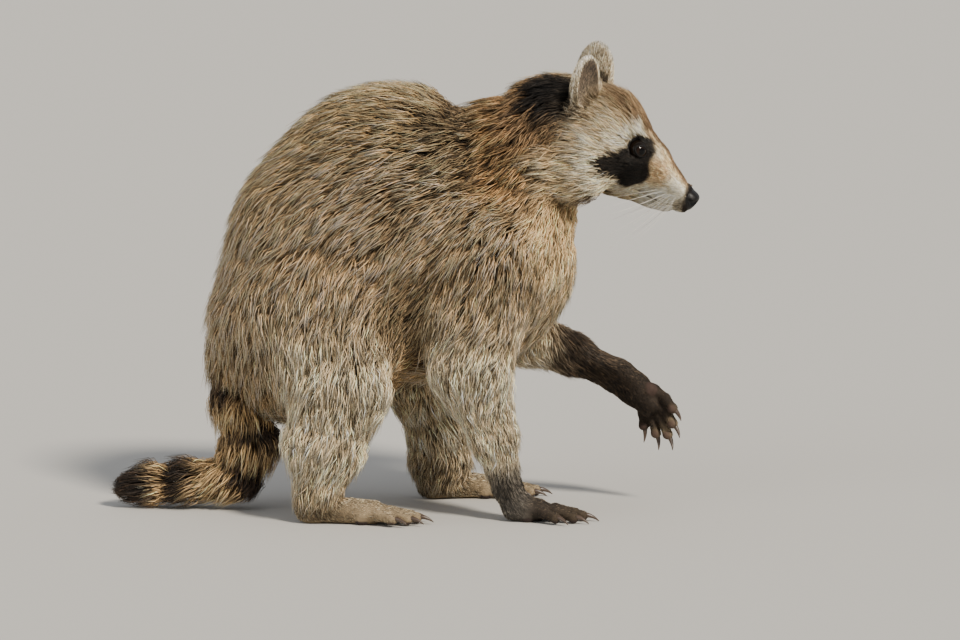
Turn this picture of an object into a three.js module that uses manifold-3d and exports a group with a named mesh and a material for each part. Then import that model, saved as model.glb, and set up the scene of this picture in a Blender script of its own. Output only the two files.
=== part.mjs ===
// A raccoon, life size: it stands on three feet, back arched, head low, and holds its left forepaw out.
// Millimetres. +X is towards the nose, +Y is the animal's left and +Z is up, with the soles at Z = 0.
// Its flesh is one rounded field of bones and swellings, out to the tips of the coat. Each sub-part is
// that field inside a cutting block of its own. Digits, claws and eyes are added as solids.
import * as THREE from "three";
import { mergeVertices } from "three/addons/utils/BufferGeometryUtils.js";
import Module from "manifold-3d";

const wasm = await Module();
wasm.setup();

// ---- Driving dimensions ----
const GAP = 0.3; // clear space between neighbouring sub-parts
const FAR_OUTSIDE = 50; // field value given to the samples that close a net
const EYE_RADIUS = 7;
const CLAW_RADIUS = 1.7;
const CLAW_LENGTH = 8;
const DIGIT_TAPER = [1, 0.98, 0.86]; // a digit's radius at its root, knuckle and tip, over the paw's
const STEEP_TOP = 1.3; // rise of a leg block's sloping top for each millimetre of growth
const EYE_FACES = [8, 6]; // round and up an eye ball
const WORK_SPACE = new THREE.Box3(new THREE.Vector3(-230, -130, -30), new THREE.Vector3(240, 130, 360));

// One joint of a chain of bones: its place, the coat's half height round it, and width over height.
const at = (x, y, z, radius, width = 1) => ({ x, y, z, radius, width });

// ---- The body, as chains of joints ----
const torso = [
  at(-60, 0, 140, 80, 0.98), // rump
  at(-37, 0, 190, 84, 0.98), // croup
  at(-5, 0, 213, 93, 0.86), // loin
  at(45, 0, 187, 84, 0.8), // ribs and shoulders
];
const belly = [at(-30, 0, 150, 52, 1.15), at(26, 0, 146, 50, 1.1)];
const neckBones = [at(64, 0, 228, 58, 0.94), at(86, 0, 250, 56, 0.9), at(110, 0, 275, 43, 1)];
const hindLegRight = [
  at(-56, -40, 150, 58), // hip
  at(-43, -60, 100, 40), // knee
  at(-52, -63, 60, 32), // shank
  at(-57, -63, 26, 18), // hock
  at(-62, -64, 10, 10.5), // heel
  at(-18, -70, 8, 9.2, 1.45), // ball of the foot
];
const hindLegLeft = [
  at(-30, 40, 145, 54),
  at(12, 57, 100, 38),
  at(26, 62, 62, 28),
  at(28, 62, 28, 23),
  at(24, 62, 10, 10.5),
  at(68, 67, 8, 9.2, 1.45),
];
const foreLegRight = [
  at(56, -38, 180, 50), // shoulder
  at(51, -54, 114, 33), // elbow
  at(66, -55, 64, 18.5), // forearm
  at(77, -55, 24, 10), // wrist
  at(84, -55, 10, 9.5, 1.15), // heel of the hand
  at(99, -56, 8, 8.5, 1.5), // palm
];
const foreLegLeft = [
  at(60, 38, 178, 48),
  at(90, 44, 124, 24),
  at(124, 42, 109, 15),
  at(158, 37, 93, 11.5),
  at(170, 35, 84, 11, 1.2),
  at(181, 33, 73, 9.5, 1.45),
];
const tailBones = [
  at(-108, 0, 118, 34, 1),
  at(-113, 2, 84, 26, 1),
  at(-109, 4, 52, 24.5, 1),
  at(-118, 6, 28, 22.5, 1),
  at(-146, 9, 20, 20.5, 1),
  at(-176, 12, 18, 18.5, 1),
  at(-196, 14, 15.5, 12.5, 1),
];

// ---- The head, in its own frame: +X to the nose, +Y left, +Z up, turned and lowered into place ----
const headFrame = new THREE.Matrix4().compose(
  new THREE.Vector3(137, 0, 266),
  new THREE.Quaternion().setFromEuler(
    new THREE.Euler(
      THREE.MathUtils.degToRad(6), // tipped towards the animal's right
      THREE.MathUtils.degToRad(26), // nose down
      THREE.MathUtils.degToRad(-5), // turned to the animal's right
      "ZYX",
    ),
  ),
  new THREE.Vector3(1, 1, 1),
);
const intoHead = headFrame.clone().invert();
const brow = [at(10, 0, 22, 21, 1.1), at(43, 0, 6, 17, 1.05)];
const muzzle = [at(34, 0, -3, 23.5, 0.86), at(58, 0, -5, 17, 0.88), at(76, 0, -6, 11.2, 0.95)];
const chin = [at(24, 0, -19, 11, 1.3), at(68, 0, -14, 5.6, 1.1)];
// On the left, and mirrored on the right.
const cheekBone = [at(4, 26, -7, 23), at(28, 15, -4, 16)];
const ruff = [at(6, 30, -16, 24), at(-14, 34, -20, 25)];
const eyePlace = new THREE.Vector3(32.7, 17.2, 13.7);
const orbit = { centre: new THREE.Vector3(38, 29, 13.5), radii: new THREE.Vector3(10, 7, 7) };
const cranium = { centre: new THREE.Vector3(-3, 0, 6), radii: new THREE.Vector3(43, 41, 37) };
const nosePad = { centre: new THREE.Vector3(82, 0, -4), radii: new THREE.Vector3(7.5, 8.5, 7.2) };

// Each ear is a cupped blade: X across it, Y up it, and Z out of its hollow. The right one faces forward.
const earRoot = new THREE.Vector3(-15, 28, 28);
const earUp = new THREE.Vector3(-0.36, 0.26, 0.9).normalize();
const earOpenings = { left: new THREE.Vector3(0.55, 0.82, 0.1), right: new THREE.Vector3(0.92, -0.36, 0.1) };
const earShell = { centre: new THREE.Vector3(0, 13, 0), radii: new THREE.Vector3(18, 25, 8.5) };
const earHollow = { centre: new THREE.Vector3(0, 16, 7.5), radii: new THREE.Vector3(14.5, 19.5, 8) };

// ---- Field functions: below zero inside the coat ----
const smoothUnion = (a, b, blend) => {
  const overlap = Math.max(blend - Math.abs(a - b), 0) / blend;
  return Math.min(a, b) - (overlap * overlap * blend) / 4;
};
const smoothCut = (a, b, blend) => -smoothUnion(-a, b, blend);

function boneDistance(a, b, p) {
  const [dx, dy, dz] = [b.x - a.x, b.y - a.y, b.z - a.z];
  const along = (p.x - a.x) * dx + (p.y - a.y) * dy + (p.z - a.z) * dz;
  const t = Math.min(1, Math.max(0, along / (dx * dx + dy * dy + dz * dz)));
  const width = a.width + t * (b.width - a.width);
  const offY = (p.y - a.y - t * dy) / width;
  return Math.hypot(p.x - a.x - t * dx, offY, p.z - a.z - t * dz) - (a.radius + t * (b.radius - a.radius));
}

function chainDistance(chain, p, blend = 6) {
  let d = FAR_OUTSIDE * 10;
  for (let i = 1; i < chain.length; i += 1) {
    d = smoothUnion(d, boneDistance(chain[i - 1], chain[i], p), blend);
  }
  return d;
}

function ellipsoidDistance({ centre, radii }, p) {
  const q = p.clone().sub(centre);
  const scaled = Math.hypot(q.x / radii.x, q.y / radii.y, q.z / radii.z);
  const slope = Math.hypot(q.x / radii.x ** 2, q.y / radii.y ** 2, q.z / radii.z ** 2);
  return slope < 1e-9 ? -Math.min(radii.x, radii.y, radii.z) : (scaled * (scaled - 1)) / slope;
}

function headDistance(world) {
  const p = world.clone().applyMatrix4(intoHead);
  const side = new THREE.Vector3(p.x, Math.abs(p.y), p.z);
  let d = ellipsoidDistance(cranium, p);
  d = smoothUnion(d, chainDistance(brow, p), 12);
  d = smoothUnion(d, chainDistance(muzzle, p), 10);
  d = smoothUnion(d, chainDistance(chin, p), 6);
  d = smoothUnion(d, chainDistance(cheekBone, side), 12);
  d = smoothUnion(d, chainDistance(ruff, side), 14);
  d = smoothUnion(d, ellipsoidDistance(nosePad, p), 4);
  return smoothCut(d, ellipsoidDistance(orbit, side), 4);
}

// The ear on one side: side is 1 for the left ear and -1 for the right.
function earFrame(side) {
  const up = new THREE.Vector3(earUp.x, earUp.y * side, earUp.z);
  const open = (side > 0 ? earOpenings.left : earOpenings.right).clone();
  open.addScaledVector(up, -open.dot(up)).normalize();
  const across = new THREE.Vector3().crossVectors(up, open);
  const root = new THREE.Vector3(earRoot.x, earRoot.y * side, earRoot.z);
  return new THREE.Matrix4().makeBasis(across, up, open).setPosition(root).premultiply(headFrame);
}
const intoEars = [1, -1].map((side) => earFrame(side).invert());

function earDistance(world) {
  const shells = intoEars.map((intoEar) => {
    const p = world.clone().applyMatrix4(intoEar);
    return smoothCut(ellipsoidDistance(earShell, p), ellipsoidDistance(earHollow, p), 2.5);
  });
  return Math.min(...shells);
}

// The whole animal but for its digits, claws and eyes.
function coatDistance(p) {
  let d = chainDistance(torso, p, 20);
  d = smoothUnion(d, chainDistance(belly, p), 30);
  d = smoothUnion(d, chainDistance(neckBones, p), 22);
  for (const leg of [hindLegRight, hindLegLeft]) d = smoothUnion(d, chainDistance(leg, p, 8), 22);
  for (const leg of [foreLegRight, foreLegLeft]) d = smoothUnion(d, chainDistance(leg, p, 8), 18);
  d = smoothUnion(d, chainDistance(tailBones, p, 8), 10);
  d = smoothUnion(d, headDistance(p), 14);
  return smoothUnion(d, earDistance(p), 5);
}

// ---- From field to mesh ----
// The field's surface inside a box, as a net of about square cells whose corners lie on the surface.
function surfaceNet(field, box, cell) {
  const low = box.min;
  const counts = ["x", "y", "z"].map((axis) => Math.ceil((box.max[axis] - low[axis]) / cell) + 1);
  const [nx, ny, nz] = counts;
  const index = (i, j, k) => i + nx * (j + ny * k);
  const values = new Float64Array(nx * ny * nz);
  for (let k = 0; k < nz; k += 1)
    for (let j = 0; j < ny; j += 1)
      for (let i = 0; i < nx; i += 1) {
        const edge = i === 0 || j === 0 || k === 0 || i === nx - 1 || j === ny - 1 || k === nz - 1;
        const p = new THREE.Vector3(low.x + i * cell, low.y + j * cell, low.z + k * cell);
        values[index(i, j, k)] = edge ? FAR_OUTSIDE : field(p);
      }

  const points = [];
  const pointOf = new Map();
  for (let k = 0; k < nz - 1; k += 1)
    for (let j = 0; j < ny - 1; j += 1)
      for (let i = 0; i < nx - 1; i += 1) {
        const crossing = cellPoint(values, index, i, j, k);
        if (!crossing) continue;
        const p = crossing.multiplyScalar(cell).add(low);
        pointOf.set(index(i, j, k), points.length / 3);
        points.push(...ontoSurface(field, p, cell));
      }

  const faces = [];
  const quad = (a, b, c, d, flip) => {
    const [p, q, r, s] = [a, b, c, d].map((n) => pointOf.get(n));
    faces.push(...(flip ? [p, r, q, p, s, r] : [p, q, r, p, r, s]));
  };
  for (let k = 0; k < nz - 1; k += 1)
    for (let j = 0; j < ny - 1; j += 1)
      for (let i = 0; i < nx - 1; i += 1) {
        const inside = values[index(i, j, k)] < 0;
        if (inside !== values[index(i + 1, j, k)] < 0)
          quad(index(i, j - 1, k - 1), index(i, j, k - 1), index(i, j, k), index(i, j - 1, k), !inside);
        if (inside !== values[index(i, j + 1, k)] < 0)
          quad(index(i - 1, j, k - 1), index(i - 1, j, k), index(i, j, k), index(i, j, k - 1), !inside);
        if (inside !== values[index(i, j, k + 1)] < 0)
          quad(index(i - 1, j - 1, k), index(i, j - 1, k), index(i, j, k), index(i - 1, j, k), !inside);
      }
  const vertProperties = new Float32Array(points);
  const triVerts = new Uint32Array(faces);
  return new wasm.Manifold(new wasm.Mesh({ numProp: 3, vertProperties, triVerts }));
}

// The middle of a cell's edge crossings, in cells, or null where the surface misses the cell.
function cellPoint(values, index, i, j, k) {
  const sum = new THREE.Vector3();
  let crossings = 0;
  for (let axis = 0; axis < 3; axis += 1)
    for (let corner = 0; corner < 4; corner += 1) {
      const from = [0, 0, 0];
      from[(axis + 1) % 3] = corner & 1;
      from[(axis + 2) % 3] = corner >> 1;
      const to = [...from];
      to[axis] = 1;
      const a = values[index(i + from[0], j + from[1], k + from[2])];
      const b = values[index(i + to[0], j + to[1], k + to[2])];
      if (a < 0 === b < 0) continue;
      const t = a / (a - b);
      sum.add(new THREE.Vector3(...from).lerp(new THREE.Vector3(...to), t));
      crossings += 1;
    }
  return crossings ? sum.divideScalar(crossings).add(new THREE.Vector3(i, j, k)) : null;
}

// Moves a point onto the field's surface, by at most half a cell.
function ontoSurface(field, start, cell) {
  const step = 0.2;
  const p = start.clone();
  for (let round = 0; round < 3; round += 1) {
    const d = field(p);
    const slope = new THREE.Vector3(
      field(new THREE.Vector3(p.x + step, p.y, p.z)) - d,
      field(new THREE.Vector3(p.x, p.y + step, p.z)) - d,
      field(new THREE.Vector3(p.x, p.y, p.z + step)) - d,
    ).divideScalar(step);
    const steepness = slope.lengthSq();
    if (steepness > 0.05) p.addScaledVector(slope, -d / steepness);
  }
  const move = p.sub(start).clampLength(0, cell / 2);
  return start.clone().add(move).toArray();
}

// ---- Solids and their cuts ----
function solidOf(geometry) {
  const bare = geometry.clone();
  bare.deleteAttribute("normal");
  bare.deleteAttribute("uv");
  const merged = mergeVertices(bare, 1e-3);
  return new wasm.Manifold(
    new wasm.Mesh({
      numProp: 3,
      vertProperties: merged.attributes.position.array,
      triVerts: new Uint32Array(merged.index.array),
    }),
  );
}

// A cutting block: the centre of its box, its size, and its turn about Y in degrees, in a frame.
const boxBlock = (centre, size, turn = 0, frame = new THREE.Matrix4()) => (grow) => {
  const [width, depth, height] = size.map((side) => side + 2 * grow);
  const place = new THREE.Matrix4().makeRotationY(THREE.MathUtils.degToRad(turn));
  place.setPosition(new THREE.Vector3(...centre)).premultiply(frame);
  return new THREE.BoxGeometry(width, depth, height).applyMatrix4(place);
};

// A cutting block for a leg: upright on its inner side, with a top that rises outwards from crotch to hip.
// The top is steep, so it is raised by a little more than the growth to clear its neighbour by as much.
const legBlock = ({ rear, front, inner, outer, bottom, crotch, hip }) => (grow) => {
  const side = Math.sign(outer);
  const outline = new THREE.Shape([
    new THREE.Vector2(inner - grow * side, bottom - grow),
    new THREE.Vector2(inner - grow * side, crotch + grow),
    new THREE.Vector2(outer, hip + grow * STEEP_TOP),
    new THREE.Vector2(outer, bottom - grow),
  ]);
  const made = new THREE.ExtrudeGeometry(outline, { depth: front - rear + 2 * grow, bevelEnabled: false });
  const axes = [new THREE.Vector3(0, 1, 0), new THREE.Vector3(0, 0, 1), new THREE.Vector3(1, 0, 0)];
  return made.applyMatrix4(new THREE.Matrix4().makeBasis(...axes).setPosition(rear - grow, 0, 0));
};

// A closed tube along a curve, whose radius changes along it, with a rounded tip.
function taperedTube(places, radii, sides = 5, rings = 2) {
  const curve = new THREE.CatmullRomCurve3(places);
  const profile = new THREE.CatmullRomCurve3(radii.map((r, i) => new THREE.Vector3(i, r, 0)));
  const frames = curve.computeFrenetFrames(rings, false);
  const points = [...places[0].toArray()];
  for (let ring = 0; ring <= rings; ring += 1) {
    const centre = curve.getPointAt(ring / rings);
    const radius = profile.getPointAt(ring / rings).y;
    for (let side = 0; side < sides; side += 1) {
      const turn = (2 * Math.PI * side) / sides;
      const out = frames.normals[ring].clone().multiplyScalar(Math.cos(turn) * radius);
      out.addScaledVector(frames.binormals[ring], Math.sin(turn) * radius);
      points.push(...centre.add(out).toArray());
      centre.sub(out);
    }
  }
  const last = places.at(-1);
  points.push(...last.clone().addScaledVector(frames.tangents[rings], radii.at(-1) * 0.8).toArray());
  const tip = points.length / 3 - 1;
  const faces = [];
  const vertex = (ring, side) => 1 + ring * sides + (side % sides);
  for (let side = 0; side < sides; side += 1) {
    faces.push(0, vertex(0, side + 1), vertex(0, side));
    for (let ring = 0; ring < rings; ring += 1) {
      faces.push(vertex(ring, side), vertex(ring, side + 1), vertex(ring + 1, side));
      faces.push(vertex(ring, side + 1), vertex(ring + 1, side + 1), vertex(ring + 1, side));
    }
    faces.push(vertex(rings, side), vertex(rings, side + 1), tip);
  }
  const geometry = new THREE.BufferGeometry();
  geometry.setAttribute("position", new THREE.Float32BufferAttribute(points, 3));
  geometry.setIndex(faces);
  return geometry;
}

// ---- Paws: five digits that fan out from the end of the palm or foot ----
// forward and up are the way the paw points and its back; lengths run from the inner digit outwards.
const paws = {
  fore_right: {
    root: new THREE.Vector3(99, -56, 8),
    forward: new THREE.Vector3(1, -0.06, 0),
    up: new THREE.Vector3(0, 0, 1),
    inner: 1, // the inner digit is towards +Y
    lengths: [22, 30, 32, 30, 23],
    spread: 74,
    halfWidth: 9,
    radius: 4.3,
    curl: 10,
  },
  fore_left: {
    root: new THREE.Vector3(182, 33, 76),
    forward: new THREE.Vector3(0.52, -0.1, -0.85),
    up: new THREE.Vector3(0.56, 0.78, 0.24),
    inner: -1,
    lengths: [20, 26, 28, 26, 20],
    spread: 46,
    halfWidth: 10,
    radius: 4.4,
    curl: 12,
  },
  hind_right: {
    root: new THREE.Vector3(-18, -70, 8),
    forward: new THREE.Vector3(1, -0.12, 0),
    up: new THREE.Vector3(0, 0, 1),
    inner: 1,
    lengths: [22, 29, 31, 29, 23],
    spread: 48,
    halfWidth: 10,
    radius: 4.6,
    curl: 8,
  },
  hind_left: {
    root: new THREE.Vector3(68, 67, 8),
    forward: new THREE.Vector3(1, 0.1, 0),
    up: new THREE.Vector3(0, 0, 1),
    inner: -1,
    lengths: [22, 29, 31, 29, 23],
    spread: 48,
    halfWidth: 10,
    radius: 4.6,
    curl: 8,
  },
};

// The joints of one digit, from inside the palm to its tip, and the way its claw leaves it.
function digit(paw, number) {
  const forward = paw.forward.clone().normalize();
  const across = new THREE.Vector3().crossVectors(paw.up, forward).normalize();
  const up = new THREE.Vector3().crossVectors(forward, across);
  const fan = (2 - number) / 2; // 1 on the inner digit, -1 on the outer
  const turn = THREE.MathUtils.degToRad((fan * paw.spread) / 2) * paw.inner;
  const way = forward.clone().multiplyScalar(Math.cos(turn)).addScaledVector(across, Math.sin(turn));
  const root = paw.root.clone().addScaledVector(across, fan * paw.inner * paw.halfWidth * 0.8);
  root.addScaledVector(forward, -Math.abs(fan) * 5);
  const curl = THREE.MathUtils.degToRad(paw.curl);
  const bend = (share) => {
    const along = way.clone().multiplyScalar(Math.cos(curl * share));
    return along.addScaledVector(up, -Math.sin(curl * share));
  };
  const half = paw.lengths[number] / 2;
  const knuckle = root.clone().addScaledVector(bend(0.1), half);
  const tip = knuckle.clone().addScaledVector(bend(1.2), half);
  return { joints: [root, knuckle, tip], clawWay: bend(1.9), up };
}

function clawGeometry(paw, number) {
  const { joints, clawWay, up } = digit(paw, number);
  const clear = paw.radius * DIGIT_TAPER[2] + GAP + 0.5; // beyond the digit's rounded tip
  const start = joints[2].clone().addScaledVector(clawWay, clear).addScaledVector(up, 0.8);
  const middle = start.clone().addScaledVector(clawWay, CLAW_LENGTH * 0.525).addScaledVector(up, 0.5);
  const end = start.clone().addScaledVector(clawWay, CLAW_LENGTH).addScaledVector(up, -0.6);
  const radii = [CLAW_RADIUS, CLAW_RADIUS * 0.8, CLAW_RADIUS * 0.25];
  return taperedTube([start, middle, end], radii, 4);
}

// ---- Sub-parts cut from the field: the first ones listed keep what their blocks hold ----
const pieces = [
  { name: "nose", look: "nose", cell: 5, block: boxBlock([88, 0, -4], [20, 30, 30], 0, headFrame) },
  {
    name: "ear_left",
    look: "fur_grey",
    cell: 5,
    block: boxBlock([0, 27, 0], [46, 44, 36], 0, earFrame(1)),
  },
  {
    name: "ear_right",
    look: "fur_grey",
    cell: 5,
    block: boxBlock([0, 27, 0], [46, 44, 36], 0, earFrame(-1)),
  },
  { name: "head", look: "fur_pale", cell: 7.7, block: boxBlock([188, 0, 273], [140, 180, 120], -8) },
  { name: "paw_fore_right", look: "paw", cell: 9, block: boxBlock([116, -56, 4], [84, 70, 30]) },
  { name: "paw_fore_left", look: "paw", cell: 8.5, block: boxBlock([199, 32, 58], [69, 80, 110], 40) },
  { name: "foot_hind_right", look: "paw", cell: 10, block: boxBlock([-14, -70, 0], [122, 60, 38]) },
  { name: "foot_hind_left", look: "paw", cell: 10, block: boxBlock([68, 68, 0], [120, 60, 38]) },
  { name: "tail_tip", look: "fur_ringed", cell: 12, block: boxBlock([-192, 10, 20], [92, 80, 90]) },
  { name: "tail_root", look: "fur_ringed", cell: 13.5, block: boxBlock([-124.5, 5, 30], [81, 72, 106]) },
  {
    name: "leg_fore_right",
    look: "fur_grey",
    cell: 12.5,
    block: legBlock({ rear: 12, front: 120, inner: -14, outer: -120, bottom: -20, crotch: 96, hip: 210 }),
  },
  {
    name: "leg_hind_right",
    look: "fur_grey",
    cell: 16,
    block: legBlock({ rear: -118, front: -4, inner: -24, outer: -130, bottom: -20, crotch: 96, hip: 216 }),
  },
  {
    name: "leg_hind_left",
    look: "fur_grey",
    cell: 16.5,
    block: legBlock({ rear: -86, front: 64, inner: 14, outer: 130, bottom: -20, crotch: 94, hip: 212 }),
  },
  {
    name: "leg_fore_left",
    look: "fur_grey",
    cell: 10.6,
    block: legBlock({ rear: 56, front: 210, inner: 10, outer: 120, bottom: 40, crotch: 110, hip: 214 }),
  },
  { name: "neck", look: "fur_brown", cell: 16.5, block: boxBlock([142, 0, 284], [150, 200, 190], -36) },
  { name: "trunk", look: "fur_grey", cell: 21.8, block: boxBlock([0, 0, 200], [400, 300, 400]) },
];

// ---- Looks ----
const finish = (color, roughness) => new THREE.MeshStandardMaterial({ color, roughness, metalness: 0 });
const looks = {
  fur_grey: finish(0x8c7f6c, 0.9),
  fur_brown: finish(0x8a7052, 0.9),
  fur_pale: finish(0xc9b998, 0.9),
  fur_ringed: finish(0x6b5c48, 0.9),
  paw: finish(0x2e2a26, 0.8),
  nose: finish(0x141212, 0.35),
  eye: finish(0x120c08, 0.08),
  claw: finish(0x4a4038, 0.45),
};

const animal = new THREE.Group();

function addMesh(name, geometry, look) {
  const mesh = new THREE.Mesh(geometry, looks[look]);
  mesh.name = name;
  animal.add(mesh);
}

function geometryOf(solid) {
  const mesh = solid.getMesh();
  const geometry = new THREE.BufferGeometry();
  geometry.setAttribute("position", new THREE.Float32BufferAttribute(mesh.vertProperties, 3));
  geometry.setIndex(new THREE.BufferAttribute(mesh.triVerts, 1));
  return geometry;
}

// The digits of a paw, joined to the cut palm or foot.
function withDigits(solid, paw) {
  let joined = solid;
  for (let number = 0; number < 5; number += 1) {
    const { joints } = digit(paw, number);
    const radii = DIGIT_TAPER.map((share) => paw.radius * share);
    joined = joined.add(solidOf(taperedTube(joints, radii)));
  }
  return joined;
}

function eyeCentre(side) {
  return new THREE.Vector3(eyePlace.x, eyePlace.y * side, eyePlace.z).applyMatrix4(headFrame);
}

function ball(centre, radius) {
  return new THREE.SphereGeometry(radius, ...EYE_FACES).translate(centre.x, centre.y, centre.z);
}

const ground = solidOf(new THREE.BoxGeometry(2000, 2000, 200).translate(0, 0, -100));
const pawOf = {
  paw_fore_right: paws.fore_right,
  paw_fore_left: paws.fore_left,
  foot_hind_right: paws.hind_right,
  foot_hind_left: paws.hind_left,
};
const claimed = [];
for (const piece of pieces) {
  const cutter = piece.block(0);
  cutter.computeBoundingBox();
  const reach = cutter.boundingBox.clone().expandByScalar(2.5 * piece.cell);
  reach.intersect(WORK_SPACE);
  let solid = surfaceNet(coatDistance, reach, piece.cell).intersect(solidOf(cutter));
  if (pawOf[piece.name]) solid = withDigits(solid, pawOf[piece.name]);
  for (const other of claimed) solid = solid.subtract(solidOf(other.block(GAP)));
  solid = solid.subtract(ground);
  if (piece.name === "head")
    for (const side of [1, -1]) solid = solid.subtract(solidOf(ball(eyeCentre(side), EYE_RADIUS + GAP)));
  addMesh(piece.name, geometryOf(solid), piece.look);
  claimed.push(piece);
}

addMesh("eye_left", ball(eyeCentre(1), EYE_RADIUS), "eye");
addMesh("eye_right", ball(eyeCentre(-1), EYE_RADIUS), "eye");

for (const [pawName, paw] of Object.entries(paws))
  for (let number = 0; number < 5; number += 1)
    addMesh(`claw_${pawName}_${number + 1}`, clawGeometry(paw, number), "claw");

// The origin is under the middle of the whole animal's box, on the ground.
const box = new THREE.Box3().setFromObject(animal, true);
const middle = box.getCenter(new THREE.Vector3());
animal.position.set(-middle.x, -middle.y, -box.min.z);

export default animal;
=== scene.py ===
import math
from types import SimpleNamespace

import bpy
import numpy as np
from mathutils import Matrix, Vector, kdtree


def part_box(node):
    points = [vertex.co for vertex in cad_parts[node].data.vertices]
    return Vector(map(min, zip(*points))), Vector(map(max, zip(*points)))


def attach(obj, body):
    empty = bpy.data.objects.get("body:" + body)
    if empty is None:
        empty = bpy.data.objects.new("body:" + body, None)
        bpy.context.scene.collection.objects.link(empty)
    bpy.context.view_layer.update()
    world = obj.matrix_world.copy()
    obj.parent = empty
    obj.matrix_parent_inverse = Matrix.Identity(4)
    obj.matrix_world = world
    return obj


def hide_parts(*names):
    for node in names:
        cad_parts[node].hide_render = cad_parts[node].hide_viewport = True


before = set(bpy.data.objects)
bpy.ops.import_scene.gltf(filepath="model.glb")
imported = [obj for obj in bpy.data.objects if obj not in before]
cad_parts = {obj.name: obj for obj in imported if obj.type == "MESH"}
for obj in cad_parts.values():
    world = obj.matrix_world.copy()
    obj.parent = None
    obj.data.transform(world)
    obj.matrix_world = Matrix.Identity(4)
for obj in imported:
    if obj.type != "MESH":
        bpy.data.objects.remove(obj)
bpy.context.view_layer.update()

# A life-size raccoon on three feet, left forepaw held out. Shapes are worked out in millimetres, in the
# frame the body's joints are given in: +X to the nose, +Y to the animal's left, +Z up, ground at 0.
# The coat is a field round chains of joints; the skin is the same field less the coat's depth.
RANDOM = np.random.default_rng(7)
FAR = 60.0  # field value well outside a part
HEAD_REACH, EAR_REACH = 150, 75  # how far from the head's origin and an ear's root they are worked out
MM = 0.001
GROUND_CLEARANCE = 0.3  # soles stop this far above the ground
EYE_RADIUS = 7.0
SKIN_CELL = 2.6
TUFT_COUNT = 280000
GUARD_SHARE = 0.16  # of the strands, which are longer and lie over the rest
GUARD_EXTRA = 0.45  # of their length
STRAY_SHARE, STRAY_OUT = 0.3, 2.5  # of the guard hairs, and how far out of the coat these may stand
LIE_SPREAD = 13  # degrees by which single tufts turn from their neighbours
SHORTENED = 0.6  # what is left at each try of a tuft that would lie over an eye
SHORTEST, TIP_CLEARANCE = 0.9, 0.4  # the least length of a tuft, and height of its tip above the ground
TUFTS_PER_LOCK = 14
STRAND_DEPTH = 4.0  # coat at least this deep has bent strands, and the rest has blades
TRIANGLES_PER_PIECE = 180000
PATCH = 0.003  # side of a tuft's patch in the OFBake map


def unit(v):
    return v / (np.linalg.norm(v, axis=-1, keepdims=True) + 1e-12)


# ---- The body, as chains of joints: place, radius out to the coat, coat depth, width over height ----
def at(x, y, z, radius, depth, width=1.0):
    return np.array([x, y, z, radius, depth, width], float)


TORSO = [at(-60, 0, 140, 80, 13, 0.98), at(-37, 0, 190, 84, 13, 0.98), at(-5, 0, 213, 93, 13, 0.86),
         at(45, 0, 187, 84, 12, 0.8)]
BELLY = [at(-30, 0, 150, 52, 12, 1.15), at(26, 0, 146, 50, 12, 1.1)]
NECK = [at(64, 0, 228, 58, 13, 0.94), at(86, 0, 250, 56, 13, 0.9), at(110, 0, 275, 43, 11)]
HIND_RIGHT = [at(-56, -40, 150, 58, 13), at(-43, -60, 100, 40, 12), at(-52, -63, 60, 32, 11),
              at(-57, -63, 26, 18, 6), at(-62, -64, 10, 10.5, 1.2), at(-18, -70, 8, 9.2, 0.9, 1.45)]
HIND_LEFT = [at(-30, 40, 145, 54, 13), at(12, 57, 100, 38, 12), at(26, 62, 62, 28, 11),
             at(28, 62, 28, 23, 7), at(24, 62, 10, 10.5, 1.2), at(68, 67, 8, 9.2, 0.9, 1.45)]
FORE_RIGHT = [at(56, -38, 180, 50, 12), at(51, -54, 114, 33, 11), at(66, -55, 64, 18.5, 7),
              at(77, -55, 24, 10, 2.2), at(84, -55, 10, 9.5, 1.1, 1.15), at(99, -56, 8, 8.5, 0.9, 1.5)]
FORE_LEFT = [at(60, 38, 178, 48, 12), at(90, 44, 124, 24, 9), at(124, 42, 109, 15, 4),
             at(158, 37, 93, 11.5, 1.6), at(170, 35, 84, 11, 1.1, 1.2), at(181, 33, 73, 9.5, 0.9, 1.45)]
TAIL = [at(-108, 0, 118, 34, 13), at(-113, 2, 84, 26, 12), at(-109, 4, 52, 24.5, 12),
        at(-118, 6, 28, 22.5, 12), at(-146, 9, 20, 20.5, 12), at(-176, 12, 18, 18.5, 12),
        at(-196, 14, 15.5, 12.5, 9)]
LEGS = [HIND_RIGHT, HIND_LEFT, FORE_RIGHT, FORE_LEFT]
# The body's chains, how softly the bones of each join one another, and how softly it joins the rest.
BODY_CHAINS = [(TORSO, 20, 1), (BELLY, 6, 30), (NECK, 6, 22), (HIND_RIGHT, 8, 22), (HIND_LEFT, 8, 22),
               (FORE_RIGHT, 8, 18), (FORE_LEFT, 8, 18), (TAIL, 8, 10)]

# ---- The head, in its own frame ----
HEAD_ORIGIN = np.array([137.0, 0.0, 266.0])
HEAD_TURN = np.array(
    Matrix.Rotation(math.radians(-5), 3, "Z")
    @ Matrix.Rotation(math.radians(26), 3, "Y")
    @ Matrix.Rotation(math.radians(6), 3, "X")
)
BROW = [at(10, 0, 22, 21, 6, 1.1), at(43, 0, 6, 17, 2.2, 1.05)]
MUZZLE = [at(34, 0, -3, 23.5, 3.2, 0.86), at(58, 0, -5, 17, 2.2, 0.88), at(76, 0, -6, 11.2, 1.4, 0.95)]
CHIN = [at(24, 0, -19, 11, 5, 1.3), at(68, 0, -14, 5.6, 1.6, 1.1)]
CHEEK_BONE = [at(4, 26, -7, 23, 8), at(28, 15, -4, 16, 3)]
RUFF = [at(6, 30, -16, 24, 14), at(-14, 34, -20, 25, 15)]
CRANIUM = ((-3, 0, 6), (43, 41, 37))
CRANIUM_DEPTH = 7
ORBIT = ((38, 29, 13.5), (10, 7, 7))
ORBIT_DEPTH = 0.6
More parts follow.
